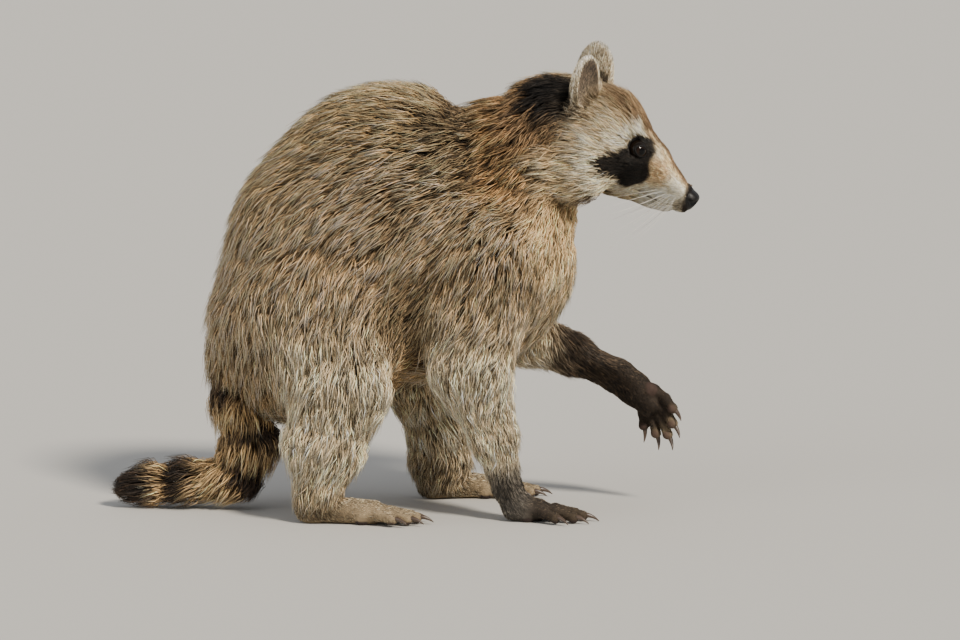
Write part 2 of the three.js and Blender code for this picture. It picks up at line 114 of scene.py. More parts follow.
NOSE_PAD = ((82, 0, -4), (7.5, 8.5, 7.2))
NOSE_PAD_DEPTH = 1.5
NOSE_LEATHER = ((80.8, 0, -4.9), (9.5, 8.6, 8.6))
NOSE_TIP = np.array([88.4, 0.0, -4.2])
EYE_PLACE = np.array([32.7, 17.2, 13.7])
MOUTH_PLACES = [(84, 1.5, -12), (79, 6, -12.3), (72, 8.5, -12.6), (60, 11.5, -12.8), (47, 14.5, -12.4)]
MOUTH_RADIUS = 0.45
# The head's chains of joints, whether both sides have one, and how softly each joins the rest.
HEAD_CHAINS = [(BROW, False, 12), (MUZZLE, False, 10), (CHIN, False, 6),
               (CHEEK_BONE, True, 12), (RUFF, True, 14)]
GAZE = np.array([0.57, 0.79, 0.2])  # of the left eye
HEAD_FLOOR = 190  # the lowest height of the head, in the body's frame

# ---- Each ear is a cupped blade: X across it, Y up it, and Z out of its hollow ----
EAR_ROOT = np.array([-15.0, 28.0, 28.0])
EAR_UP = np.array([-0.36, 0.26, 0.9])
EAR_OPENINGS = {1: np.array([0.55, 0.82, 0.1]), -1: np.array([0.92, -0.36, 0.1])}
EAR_SHELL = ((0, 13, 0), (18, 25, 8.5))
EAR_HOLLOW = ((0, 16, 7.5), (14.5, 19.5, 8))
EAR_DEPTH = 2.6
EAR_HOLLOW_DEPTH = 1.0


# ---- Paws: the end of the palm or foot, the way it points, its back, and five digits ----
def paw(root, forward, up, inner, lengths, spread, half_width, radius, curl):
    forward = unit(np.array(forward, float))
    across = unit(np.cross(up, forward))
    return SimpleNamespace(
        root=np.array(root, float), forward=forward, across=across, up=np.cross(forward, across),
        inner=inner, lengths=lengths, spread=spread, half_width=half_width, radius=radius, curl=curl,
    )


HIND_LENGTHS = [22, 29, 31, 29, 23]
PAWS = {
    "fore_right": paw((99, -56, 8), (1, -0.06, 0), (0, 0, 1), 1, [22, 30, 32, 30, 23], 74, 9, 4.3, 10),
    "fore_left": paw((182, 33, 76), (0.52, -0.1, -0.85), (0.56, 0.78, 0.24), -1, [20, 26, 28, 26, 20],
                     46, 10, 4.4, 12),
    "hind_right": paw((-18, -70, 8), (1, -0.12, 0), (0, 0, 1), 1, HIND_LENGTHS, 48, 10, 4.6, 8),
    "hind_left": paw((68, 67, 8), (1, 0.1, 0), (0, 0, 1), -1, HIND_LENGTHS, 48, 10, 4.6, 8),
}
RAISED = 40  # a paw above this height is off the ground
DIGITS = range(5)
DIGIT_DEPTH = 0.7
DIGIT_TAPER = [1, 0.98, 0.86]  # a digit's radius at its root, knuckle and tip, over the paw's
TIP_PAD, PALM_PAD = 3.1, 5.2  # radii of the bare pads


def digit(foot, number):
    """The joints of one digit, and the way its claw leaves it."""
    fan = (2 - number) / 2
    turn = math.radians(fan * foot.spread / 2) * foot.inner
    way = foot.forward * math.cos(turn) + foot.across * math.sin(turn)
    root = foot.root + foot.across * fan * foot.inner * foot.half_width * 0.8
    root = root - foot.forward * abs(fan) * 5
    curl = math.radians(foot.curl)

    def bend(share):
        return way * math.cos(curl * share) - foot.up * math.sin(curl * share)

    half = foot.lengths[number] / 2
    knuckle = root + bend(0.1) * half
    tip = knuckle + bend(1.2) * half
    return [root, knuckle, tip], bend(1.9)


# ---- Field functions: below zero inside ----
def smooth_union(a, b, blend):
    overlap = np.maximum(blend - np.abs(a - b), 0) / blend
    return np.minimum(a, b) - overlap**2 * blend / 4


def smooth_cut(a, b, blend):
    return -smooth_union(-a, b, blend)


def beside_bone(a, b, p):
    """Where along a bone each point is, from 0 to 1, and the way from there to it."""
    along = b[:3] - a[:3]
    t = np.clip((p - a[:3]) @ along / (along @ along), 0, 1)
    return t, p - a[:3] - t[:, None] * along


def bone_distance(a, b, p, skin):
    t, off = beside_bone(a, b, p)
    radius, depth, width = (a[k] + t * (b[k] - a[k]) for k in (3, 4, 5))
    flat = off[:, 0] ** 2 + (off[:, 1] / width) ** 2 + off[:, 2] ** 2
    return np.sqrt(flat) - radius + skin * depth


def chain_distance(chain, p, skin, blend=6):
    d = bone_distance(chain[0], chain[1], p, skin)
    for a, b in zip(chain[1:], chain[2:]):
        d = smooth_union(d, bone_distance(a, b, p, skin), blend)
    return d


def ellipsoid_distance(shape, p):
    centre, radii = (np.array(v, float) for v in shape)
    q = (p - centre) / radii
    scaled = np.sqrt((q**2).sum(1))
    slope = np.sqrt(((q / radii) ** 2).sum(1)) + 1e-9
    return scaled * (scaled - 1) / slope


def near(p, centre, reach, field, *more):
    """field(p, *more) where p is within reach of centre, and FAR elsewhere."""
    d = np.full(len(p), FAR)
    close = ((p - centre) ** 2).sum(1) < reach**2
    if close.any():
        d[close] = field(p[close], *more)
    return d


def into_head(p):
    return (p - HEAD_ORIGIN) @ HEAD_TURN


def out_of_head(p):
    return p @ HEAD_TURN.T + HEAD_ORIGIN


def mirrored(q):
    """Head points folded onto the left side."""
    return np.column_stack([q[:, 0], np.abs(q[:, 1]), q[:, 2]])


def head_distance(p, skin):
    q = into_head(p)
    side = mirrored(q)
    d = ellipsoid_distance(CRANIUM, q) + skin * CRANIUM_DEPTH
    for chain, paired, blend in HEAD_CHAINS:
        d = smooth_union(d, chain_distance(chain, side if paired else q, skin), blend)
    d = smooth_union(d, ellipsoid_distance(NOSE_PAD, q) + skin * NOSE_PAD_DEPTH, 4)
    return smooth_cut(d, ellipsoid_distance(ORBIT, side) - skin * ORBIT_DEPTH, 4)


def ear_frame(side):
    """The axes of one ear as columns, and its root, in the body's frame. side is 1 on the left."""
    flip = np.array([1, side, 1])
    up = unit(EAR_UP) * flip
    opening = unit(EAR_OPENINGS[side] - up * (EAR_OPENINGS[side] @ up))
    axes = np.column_stack([np.cross(up, opening), up, opening])
    return HEAD_TURN @ axes, out_of_head(EAR_ROOT * flip)


EARS = {side: ear_frame(side) for side in (1, -1)}


def ear_distance(p, skin, side):
    axes, root = EARS[side]
    q = (p - root) @ axes
    shell = ellipsoid_distance(EAR_SHELL, q) + skin * EAR_DEPTH
    return smooth_cut(shell, ellipsoid_distance(EAR_HOLLOW, q) - skin * EAR_HOLLOW_DEPTH, 2.5)


def body_distance(p, skin):
    """The coat's outside for skin 0 and the skin for skin 1, but for digits, sockets and mouth."""
    d = np.inf
    for chain, within, blend in BODY_CHAINS:
        d = smooth_union(d, chain_distance(chain, p, skin, within), blend)
    d = smooth_union(d, near(p, HEAD_ORIGIN, HEAD_REACH, head_distance, skin), 14)
    for side, (_, root) in EARS.items():
        d = smooth_union(d, near(p, root, EAR_REACH, ear_distance, skin, side), 5)
    return d


def digit_bones(foot):
    """The joints of each of a paw's digits, as a chain."""
    for number in DIGITS:
        joints, _ = digit(foot, number)
        yield [at(*place, foot.radius * taper, DIGIT_DEPTH) for place, taper in zip(joints, DIGIT_TAPER)]


def pads(foot):
    """The bare pads under a paw: one at each digit's tip and three across the palm, as balls."""
    balls = []
    for number in DIGITS:
        joints, _ = digit(foot, number)
        balls.append((joints[2] - foot.up * 1.2, TIP_PAD))
    for side, back in ((-1, 7), (0, 2), (1, 7)):
        middle = foot.root + foot.across * side * foot.half_width * 0.75
        balls.append((middle - foot.forward * back - foot.up * 3.4, PALM_PAD))
    return balls


PADS = {name: pads(foot) for name, foot in PAWS.items()}


def paw_distance(p, name):
    foot = PAWS[name]
    d = np.full(len(p), FAR)
    for bones in digit_bones(foot):
        d = smooth_union(d, chain_distance(bones, p, 1, 2), 1.5)
    for centre, radius in PADS[name]:
        d = smooth_union(d, np.linalg.norm(p - centre, axis=1) - radius, 2.5)
    return d


def eye_centre(side):
    return out_of_head(EYE_PLACE * [1, side, 1])


def eye_gap(p):
    """How far each point is from the nearer eyeball."""
    return np.min([np.linalg.norm(p - eye_centre(side), axis=1) for side in (1, -1)], axis=0) - EYE_RADIUS


def mouth_distance(p):
    return chain_distance(MOUTH, mirrored(into_head(p)), 0, 1)


def nose_seat(p):
    return ellipsoid_distance(NOSE_PAD, into_head(p)) + 0.6


def mouth_near(p):
    return near(p, MOUTH_MIDDLE, MOUTH_REACH, mouth_distance)


def skin_distance(p):
    """The skin with its digits and pads, less the eye sockets, the seat of the nose and the mouth line."""
    d = body_distance(p, 1)
    for name, foot in PAWS.items():
        d = smooth_union(d, near(p, foot.root, 90, paw_distance, name), 3)
    d = smooth_cut(d, near(p, HEAD_ORIGIN, HEAD_REACH, eye_gap) - 0.2, 0.6)
    d = smooth_cut(d, mouth_near(p), 1)
    d = smooth_cut(d, near(p, MOUTH_MIDDLE, MOUTH_REACH, nose_seat), 0.6)
    return np.maximum(d, GROUND_CLEARANCE - p[:, 2])


# ---- From field to mesh ----
def samples(field, low, counts, cell):
    """The field on a grid. Blocks of the grid that lie well away from the surface hold one value."""
    side = 8
    blocks = -(-counts // side)
    corner = np.indices(blocks).reshape(3, -1).T * side
    middle = field(low + (corner + (side - 1) / 2) * cell)
    values = np.repeat(middle.astype(np.float32)[:, None], side**3, axis=1)
    inner = np.indices([side] * 3).reshape(3, -1).T
    for block in np.array_split(np.flatnonzero(np.abs(middle) < side * cell * 0.9 + 3), 12):
        places = (corner[block][:, None] + inner[None]).reshape(-1, 3)
        values[block] = field(low + places * cell).reshape(len(block), -1)
    grid = values.reshape(*blocks, side, side, side).transpose(0, 3, 1, 4, 2, 5)
    return grid.reshape(blocks * side)[: counts[0], : counts[1], : counts[2]]


def surface_net(field, low, high, cell):
    """The surface of the field inside a box, as points and triangles."""
    low = np.array(low, float)
    counts = np.ceil((np.array(high) - low) / cell).astype(int) + 1
    values = samples(field, low, counts, cell)
    for axis in range(3):
        np.moveaxis(values, axis, 0)[[0, -1]] = FAR
    inside = values < 0
    corners = list(np.ndindex(2, 2, 2))
    cells = counts - 1
    shifts = [tuple(slice(start, start + n) for start, n in zip(corner, cells)) for corner in corners]
    full = sum(inside[shift].astype(np.int8) for shift in shifts)
    active = np.argwhere((full > 0) & (full < 8))
    point_of = np.full(cells, -1)
    point_of[tuple(active.T)] = np.arange(len(active))
    total = np.zeros((len(active), 3))
    crossings = np.zeros(len(active))
    for a in corners:
        for axis in np.flatnonzero(np.array(a) == 0):
            along = np.eye(3, dtype=int)[axis]
            va, vb = (values[tuple((active + c).T)] for c in (a, a + along))
            crossed = (va < 0) != (vb < 0)
            share = np.where(crossed, va / np.where(crossed, va - vb, 1), 0)
            total += (a + share[:, None] * along) * crossed[:, None]
            crossings += crossed
    points = low + (active + total / crossings[:, None]) * cell
    faces = []
    for axis in range(3):
        step, u, v = np.roll(np.eye(3, dtype=int), -axis, 0)
        ahead = inside[tuple(slice(s, None) for s in step)]
        here = inside[tuple(slice(0, n) for n in ahead.shape)]
        places = np.argwhere(here != ahead)
        quad = np.stack([point_of[tuple((places - back).T)] for back in (u + v, v, 0 * u, u)], 1)
        outward = here[tuple(places.T)]
        quad[~outward] = quad[~outward][:, ::-1]
        faces += [quad[:, [0, 1, 2]], quad[:, [0, 2, 3]]]
    return points, np.concatenate(faces)


def slope(field, p, value, step=0.15):
    return np.stack([(field(p + step * axis) - value) / step for axis in np.eye(3)], 1)


def settled(field, p, rounds=2, most=1.0):
    """Points moved onto the field's surface, by at most a distance a round."""
    for _ in range(rounds):
        value = field(p)
        gradient = slope(field, p, value)
        steep = (gradient**2).sum(1)
        move = -gradient * (value / np.maximum(steep, 0.05))[:, None]
        length = np.linalg.norm(move, axis=1)[:, None]
        p = p + move * np.minimum(1, most / np.maximum(length, 1e-9))
    return p


# The parts of a triangle with corners 0 to 2 and its edges' middles 3 to 5, by which middles it is split at:
# 1, 2 and 4 stand for the three, and are added up.
SPLITS = {
    0: [(0, 1, 2)],
    1: [(0, 3, 2), (3, 1, 2)],
    3: [(0, 3, 2), (3, 1, 4), (3, 4, 2)],
    2: [(1, 4, 0), (4, 2, 0)],
    6: [(1, 4, 0), (4, 2, 5), (4, 5, 0)],
    4: [(2, 5, 1), (5, 0, 1)],
    5: [(2, 5, 1), (5, 0, 3), (5, 3, 1)],
    7: [(0, 3, 5), (3, 1, 4), (5, 4, 2), (3, 4, 5)],
}


def refined(points, faces, chosen):
    """The mesh with every edge split whose two ends are both chosen."""
    edges = np.stack([faces[:, [0, 1]], faces[:, [1, 2]], faces[:, [2, 0]]], 1)
    edges.sort(axis=2)
    code = edges[..., 0] * len(points) + edges[..., 1]
    unique, place = np.unique(code, return_inverse=True)
    ends = np.stack([unique // len(points), unique % len(points)], 1)
    split = chosen[ends].all(1)
    middle = np.full(len(unique), -1)
    middle[split] = len(points) + np.arange(split.sum())
    points = np.concatenate([points, points[ends[split]].mean(1)])
    corners_and_middles = np.column_stack([faces, middle[place.reshape(-1, 3)]])
    pattern = (corners_and_middles[:, 3:] >= 0) @ [1, 2, 4]
    out = []
    for number, parts in SPLITS.items():
        out += [corners_and_middles[pattern == number][:, part] for part in parts]
    return points, np.concatenate(out)


MOUTH_REACH = 60
MOUTH_MIDDLE = out_of_head(np.array([65, 0, -13]))
mouth_on_skin = settled(lambda p: body_distance(p, 1), out_of_head(np.array(MOUTH_PLACES, float)), rounds=6)
MOUTH = [at(*place, MOUTH_RADIUS, 0) for place in mirrored(into_head(mouth_on_skin))]


# ---- The skin, finer where the form is small ----
SKIN_BOX = (-216, -106, -4), (216, 104, 346)
FACE_FROM, NOSE_FROM = 18, 60  # x in the head's frame
EAR_REGION, PAW_REGION = 34, 40  # radii of balls round the middle of an ear and the end of a palm


def skin_mesh():
    """The skin's net, split once over the face, ears and paws, and again at the nose, mouth and eyes."""
    points, faces = surface_net(skin_distance, *SKIN_BOX, SKIN_CELL)
    points = settled(skin_distance, points)
    fine = (into_head(points)[:, 0] > FACE_FROM) & (np.abs(points[:, 1]) < 60) & (points[:, 2] > HEAD_FLOOR)
    for axes, root in EARS.values():
        fine |= np.linalg.norm((points - root) @ axes - [0, 15, 0], axis=1) < EAR_REGION
    for foot in PAWS.values():
        fine |= np.linalg.norm(points - foot.root - foot.forward * 12, axis=1) < PAW_REGION
    points, faces = refined(points, faces, fine)
    points = settled(skin_distance, points, 1)
    finest = (into_head(points)[:, 0] > NOSE_FROM) | (mouth_near(points) < 3) | (np.abs(eye_gap(points)) < 4)
    points, faces = refined(points, faces, finest & (points[:, 2] > HEAD_FLOOR))
    return settled(skin_distance, points, 2, 0.5), faces


# ---- Zones of the body, and the way the coat lies on each ----
ZONES = ["trunk", "neck", "head", "ear", "leg", "paw", "tail"]
CHEST_FRONT = (112, 0, 172)  # where the coats of the neck, the trunk and both arms meet
DOWN_AND_BACK = np.array([-0.6, 0, -0.8])


def zone_bones():
    """Every bone as (zone, start, end, the way hair lies along it)."""
    chains = [("trunk", TORSO, -1), ("trunk", BELLY, -1), ("neck", NECK, -1)]
    for leg in LEGS:
        chains += [("leg", leg[:4], 1), ("paw", leg[3:], 1)]
    chains.append(("tail", TAIL, 1))
    chains += [("paw", bones, 1) for foot in PAWS.values() for bones in digit_bones(foot)]
    for zone, chain, sense in chains:
        for a, b in zip(chain, chain[1:]):
            yield zone, a, b, sense * (b[:3] - a[:3])


def along_skin(ways, normals):
    """What is left of each way when the part out of the skin is taken off."""
    return ways - normals * (ways * normals).sum(1)[:, None]


def zones_and_flow(p, normals):
    """Each point's share in each zone, and the unit way its hair lies along the skin."""
    gaps, kinds, ways = [], [], []

    def add(zone, gap, way):
        gaps.append(gap)
        kinds.append(zone)
        ways.append(unit(way))

    for zone, a, b, way in zone_bones():
        add(zone, bone_distance(a, b, p, 0), np.tile(way, (len(p), 1)))
    from_nose = (into_head(p) - [94, 0, -2]) * [1, 1, 1.1] + [0, 0, -8]
    add("head", near(p, HEAD_ORIGIN, HEAD_REACH, head_distance, 0), from_nose @ HEAD_TURN.T)
    for side, (axes, root) in EARS.items():
        up_ear = ((p - root) @ axes - [0, -14, 0]) * [1, 1, 0]
        add("ear", near(p, root, EAR_REACH, ear_distance, 0, side), up_ear @ axes.T)
    gaps = np.stack(gaps)
    weight = np.exp(-(gaps - gaps.min(0)) / 5)
    weight /= weight.sum(0)
    shares = {zone: weight[np.array(kinds) == zone].sum(0) for zone in ZONES}
    flow = sum(w[:, None] * way for w, way in zip(weight, ways))
    flow[:, 2] -= 0.45 * shares["trunk"] * np.abs(normals[:, 1])  # down the flanks
    flow[:, 0] -= 0.35 * shares["leg"] * ramp(p[:, 2], 60, 150)
    flow[:, 2] -= 0.9 * blob(p, CHEST_FRONT, (38, 60, 55), 1.0)
    return shares, unit(along_skin(flow, normals) + along_skin(DOWN_AND_BACK, normals) * 0.05)


# ---- Markings ----
def ramp(x, start, end):
    """0 at the start and 1 at the end, which may be the lower of the two, with a soft step between."""
    t = np.clip((x - start) / (end - start), 0, 1)
    return t * t * (3 - 2 * t)


def blob(p, centre, radii, edge=0.6):
    """1 inside an ellipsoid and 0 outside, over an edge that is a share of its radii."""
    scaled = np.linalg.norm((p - np.array(centre, float)) / np.array(radii, float), axis=1)
    return ramp(scaled, 1 + edge / 2, 1 - edge / 2)


def band(x, low, high, edge):
    return ramp(x, low - edge / 2, low + edge / 2) * ramp(x, high + edge / 2, high - edge / 2)


# Each kind of hair: the colours of its root, middle and tip (0 to 255), and the share of dark hairs in it.
HAIR = {
    "grizzled": ((72, 57, 40), (150, 124, 90), (250, 230, 190), 0.18),
    "back": ((74, 58, 38), (152, 125, 86), (240, 214, 168), 0.22),
    "ginger": ((70, 52, 34), (140, 106, 68), (226, 190, 138), 0.26),
    # The next kind is painted shadow, not a kind of hair: a darker coat laid where shade falls on the body.
    "painted_shadow": ((46, 38, 28), (98, 82, 60), (204, 182, 142), 0.42),
    "tan": ((128, 102, 72), (204, 170, 124), (250, 228, 186), 0.06),
    "cream": ((140, 120, 92), (226, 204, 166), (255, 244, 218), 0.08),
    "white": ((222, 205, 170), (255, 241, 208), (255, 249, 230), 0.05),
    "face": ((116, 95, 68), (192, 166, 126), (244, 226, 190), 0.12),
    "crown": ((72, 56, 40), (120, 96, 69), (190, 160, 122), 0.28),
    "black": ((14, 12, 10), (26, 22, 18), (46, 38, 30), 0.4),
    "stripe": ((58, 46, 35), (104, 83, 61), (156, 128, 97), 0.3),
    "ochre": ((122, 92, 62), (180, 138, 94), (222, 184, 138), 0.10),
    "arm": ((26, 21, 18), (52, 43, 35), (104, 87, 68), 0.3),
    "wrist": ((54, 50, 46), (98, 92, 84), (168, 158, 142), 0.25),
    "foot": ((90, 76, 58), (162, 142, 112), (222, 204, 170), 0.15),
    "ring_dark": ((28, 22, 17), (54, 42, 33), (100, 82, 62), 0.4),
    "ring_pale": ((104, 82, 56), (182, 150, 106), (234, 208, 164), 0.08),
    "ear": ((124, 106, 82), (200, 180, 146), (246, 232, 204), 0.1),
    "ear_rim": ((190, 174, 146), (238, 226, 200), (252, 244, 226), 0.02),
    "ear_hollow": ((24, 18, 14), (46, 36, 28), (104, 86, 66), 0.3),
    "pad": ((44, 37, 34), (52, 43, 40), (60, 50, 46), 0.0),
    "pad_pale": ((54, 43, 38), (64, 50, 45), (74, 58, 52), 0.0),
    "lip": ((22, 18, 17), (28, 23, 21), (48, 40, 36), 0.4),
}
MASK_LINE = [at(36.5, 0, 12.5, 9, 0), at(36, 0, 0.5, 10.5, 0), at(29, 0, 3, 8.5, 0), at(14, 0, -3.5, 6.5, 0)]
JAW_LINE = [at(10, 0, -29, 3, 0), at(27, 0, -22, 2.5, 0)]
RINGS_FROM = 22  # millimetres along the tail, as the dark rings' ends are
TAIL_RINGS = [(RINGS_FROM, 36), (60, 70), (87, 97), (128, 146), (158, 230)]


class Coat:
    """The hair colours at a set of points: arrays of root, middle and tip colour and share of dark hairs."""

    def __init__(self, count):
        self.colours = np.tile(np.array(HAIR["grizzled"][:3], float), (count, 1, 1))
        self.dark = np.full(count, HAIR["grizzled"][3])

    def lay(self, kind, mask):
        share = np.clip(mask, 0, 1)
        self.colours += share[:, None, None] * (np.array(HAIR[kind][:3], float) - self.colours)
        self.dark += share * (HAIR[kind][3] - self.dark)


def along_tail(p):
    """How far along the tail each point is, in millimetres from its root."""
    best, place, start = np.full(len(p), FAR * 10), np.zeros(len(p)), 0
    for a, b in zip(TAIL, TAIL[1:]):
        along = b[:3] - a[:3]
        length = np.linalg.norm(along)
        t, off = beside_bone(a, b, p)
        gap = np.linalg.norm(off, axis=1)
        here = start + t * length
        if b is TAIL[-1]:
            here += np.maximum((p - b[:3]) @ along / length, 0)
        place = np.where(gap < best, here, place)
        best = np.minimum(best, gap)
        start += length
    return place


def side_line(chain, s):
    """Distance to a line of joints in the head's side view."""
    return chain_distance(chain, s * [1, 0, 1], 0, 4)


WAVES = np.array([[1, 0.7, 0.3], [0.4, -0.9, 0.8], [-0.5, 0.6, 1.3]])


def wobble(p, size, strength):
    """A slow uneven shift, to break a marking's edge."""
    return strength * np.sin(p @ WAVES.T * 2 * math.pi / size).sum(1) / 3


def paint_body(coat, p, normals, share):
    x, y, z = p.T
    z = z + wobble(p, 38, 6)
    coat.lay("back", ramp(normals[:, 2], 0.25, 0.8) * share["trunk"])
    coat.lay("ginger", blob(p, (68, 0, 262), (46, 90, 38), 0.9) * (1 - share["head"]))
    coat.lay("ginger", share["neck"] * ramp(z, 200, 235) * 0.8)
    # Painted shadow: the coat painted darker across the shoulders as a cast shadow, and low on the near
    # flank between the legs as shade.
    coat.lay("painted_shadow", blob(p, (30, 0, 264), (27, 90, 34), 0.9) * 0.85)
    coat.lay("painted_shadow", blob(p, (4, -60, 150), (24, 60, 26), 0.9) * 0.6)
    coat.lay("tan", blob(p, (112, -40, 200), (34, 60, 44), 0.8) * (1 - share["head"]))
    coat.lay("tan", ramp(-normals[:, 2], 0.35, 0.8) * (share["trunk"] + share["neck"]) * 0.3)
    coat.lay("cream", share["leg"] * ramp(z, 175, 95) * 0.85)
    coat.lay("foot", share["paw"])
    limb = share["leg"] + share["paw"]
    raised_arm = blob(p, (150, 38, 98), (72, 40, 52), 0.3) * ramp(x + wobble(p, 16, 7), 100, 122)
    coat.lay("arm", raised_arm * limb)
    coat.lay("wrist", blob(p, (84, -55, 14), (32, 34, 26), 0.5) * limb)
    coat.lay("arm", share["paw"] * ramp(x, 84, 100) * (z < RAISED) * (y < 0) * 0.8)


def paint_tail(coat, p, share):
    place = along_tail(p) + wobble(p, 24, 3)
    coat.lay("ring_pale", share["tail"] * ramp(place, 12, 40))
    coat.lay("back", share["tail"] * band(place, -40, RINGS_FROM, 7))
    for low, high in TAIL_RINGS:
        coat.lay("ring_dark", share["tail"] * band(place, low, high, 7))


def paint_head(coat, p, share):
    """The face's markings, by x to the nose, y to the side and z up in the head's frame."""
    q = into_head(p)
    s = mirrored(q)
    x, y, z = s.T

    def lay(kind, mask):
        coat.lay(kind, share["head"] * mask)

    lay("face", 1)
    shift = wobble(p, 17, 1.6)
    lay("crown", ramp(z + 0.35 * x + shift, 26, 40) * ramp(x, 52, 30))
    beside_mask = side_line(MASK_LINE, s) + shift
    lay("cream", ramp(beside_mask, 19, 11) * ramp(y, 8, 14) * 0.9)
    over_mask = ramp(y, 8, 14) * ramp(z + 0.7 * x, 16, 26)
    lay("white", ramp(beside_mask, 17, 9) * over_mask * 0.85)
    lay("white", ramp(x, 42, 55) * ramp(y - 0.4 * z, 3, 8))
    lay("ochre", blob(s, (50, 12, 4), (13, 14, 10), 1.0) * 0.75)
    lay("ochre", ramp(x, 44, 60) * ramp(y, 9, 3) * ramp(z, 0, 8) * 0.5)
    snout = ramp(x, 18, 34) * ramp(x, 80, 72) * ramp(z, 0, 6)
    lay("stripe", ramp(y + 0.4 * shift, 6, 2.5) * snout)
    lay("black", ramp(beside_mask, 1.8, -1.2) * ramp(y, 6, 10))
    lay("arm", ramp(side_line(JAW_LINE, s) + shift, 3, -0.5) * ramp(y, 8, 16) * 0.85)
    lay("black", ramp(eye_gap(p), 3.2, 1.8))
    lay("lip", ramp(mouth_near(p), 0.5, 0.0) * 0.5)
    lay("lip", ramp(ellipsoid_distance(NOSE_LEATHER, q), 1.6, 0.3))
    lay("lip", blob(q, (83, 0, -12), (5, 5, 4), 0.6))
    lay("arm", blob(s, (81, 7, -10), (9, 6, 5), 0.9) * 0.4)
    coat.lay("stripe", blob(s, (-46, 36, 2), (20, 28, 26), 0.9) * 0.7)
    coat.lay("black", blob(s, (-44, 30, 31), (29, 27, 28), 0.45) * (1 - share["ear"] * 0.4) * ramp(y, 0, 8))


def paint_ears(coat, p, share):
    on_side = into_head(p)[:, 1]
    for side, (axes, root) in EARS.items():
        e = (p - root) @ axes
        rim = np.sqrt((e[:, 0] / 18) ** 2 + ((e[:, 1] - 13) / 23) ** 2)
        here = share["ear"] * (on_side * side > 0)
        coat.lay("ear", here)
        coat.lay("black", here * (e[:, 2] < -2) * ramp(e[:, 1], 16, 6))
        coat.lay("ear_rim", here * ramp(rim, 0.8, 0.93) * ramp(e[:, 1], 4, 12))
        coat.lay("ear_hollow", here * ramp(ellipsoid_distance(EAR_HOLLOW, e), 1.7, 0.9))


def pad_share(p):
    """1 on the bare pads and 0 off them. A raised hand's pads reach further up its sides."""
    share = np.zeros(len(p))
    for name, balls in PADS.items():
        foot = PAWS[name]
        for centre, radius in balls:
            under = (p - centre) @ foot.up < (0.3 if centre[2] > RAISED else -0.25) * radius
            gap = np.linalg.norm(p - centre, axis=1) - radius
            share = np.maximum(share, ramp(gap, 0.9, 0.2) * under)
    return share


def coat_at(p, normals, share):
    coat = Coat(len(p))
    paint_body(coat, p, normals, share)
    paint_tail(coat, p, share)
    paint_head(coat, p, share)
    paint_ears(coat, p, share)
    bare = pad_share(p)
    coat.lay("pad", bare * (p[:, 2] < RAISED))
    coat.lay("pad_pale", bare * (p[:, 2] >= RAISED) * 0.8)
    return coat, bare


def linear(colours):
    """Screen colours of 0 to 255 as linear light."""
    v = np.clip(colours / 255, 0, 1)
    return np.where(v <= 0.04045, v / 12.92, ((v + 0.055) / 1.055) ** 2.4)


# ---- Where hair grows, and how long and wide it is ----
def digits_distance(p, foot):
    return np.min([chain_distance(bones, p, 0, 2) for bones in digit_bones(foot)], axis=0)


def coat_distance(p):
    """The coat's outside, digits with it."""
    d = body_distance(p, 0)
    for foot in PAWS.values():
        d = np.minimum(d, near(p, foot.root, 60, digits_distance, foot))
    return d


def eye_axes(side):
    """The gaze of one eye, and the ways to the nose and up from it."""
    out = HEAD_TURN @ unit(GAZE * [1, side, 1])
    up = HEAD_TURN[:, 2]
    up = unit(up - out * (up @ out))
    to_nose = np.cross(up, out) if side < 0 else np.cross(out, up)
    return out, to_nose, up


# How far the lids are open to each side of the gaze, and how their slit tilts, in degrees.
OPEN_WIDTH, OPEN_UP, OPEN_DOWN = 46, 30, 28
OPEN_TILT = -10
ALMOND = 1.75  # 2 gives an ellipse, and less a slit with sharper corners
ROOT_MARGIN, LASH_MARGIN = 9, 3  # degrees round the lids' opening that roots and tips keep clear of


def opening(turn):
    """The angle from the gaze at which the lids' edge lies, round the almond between them."""
    t = turn - math.radians(OPEN_TILT)
    tall = np.where(np.sin(t) > 0, OPEN_UP, OPEN_DOWN)
    across, up = np.abs(np.cos(t)) / OPEN_WIDTH, np.abs(np.sin(t)) / tall
    return (across**ALMOND + up**ALMOND) ** (-1 / ALMOND)


def over_eye(p, margin):
    """Points in front of an eye, within its lids' opening and a margin in degrees."""
    hit = np.zeros(len(p), bool)
    for side in (1, -1):
        out, to_nose, up = eye_axes(side)
        away = p - eye_centre(side)
        far = np.linalg.norm(away, axis=1)
        angle = np.degrees(np.arccos(np.clip(away @ out / (far + 1e-9), -1, 1)))
        hit |= (angle < opening(np.arctan2(away @ up, away @ to_nose)) + margin) & (far < 17)
    return hit


def lengths_and_widths(p, share, depth):
    """Tufts' lengths and widths: as the coat's depth allows, and short on the face and ears."""
    length = np.maximum(depth * (2.0 + 0.8 * ramp(depth, 10, 3)), 2.4)
    from_nose = np.linalg.norm(into_head(p) - NOSE_TIP, axis=1)
    on_face = 1.4 + 0.1 * from_nose + 0.001 * from_nose**2
    length = np.where(share["head"] + share["ear"] > 0.5, np.minimum(length, on_face), length)
    length = np.where(share["ear"] > 0.4, np.minimum(length, 4.5), length)
    return length, (0.15 + 0.021 * length) * (1 - 0.3 * share["head"])


def coverage(p, share, depth):
    """How many tufts lie over one another at each point."""
    cover = (3.2 + 3.0 * ramp(depth, 2.5, 9)) * (1 - 0.86 * share["paw"]) * (1 + 0.6 * share["head"])
    cover *= 1 + 0.8 * blob(p, CHEST_FRONT, (48, 66, 52), 1.0)
    bare = (eye_gap(p) < 1) | over_eye(p, ROOT_MARGIN) | (mouth_near(p) < 0.1) & (share["head"] > 0.3)
    bare |= (ellipsoid_distance(NOSE_PAD, into_head(p)) < 0.8) | (share["paw"] > 0.5) & (p[:, 2] < 2.5)
    return cover * (1 - np.maximum(bare, pad_share(p)))


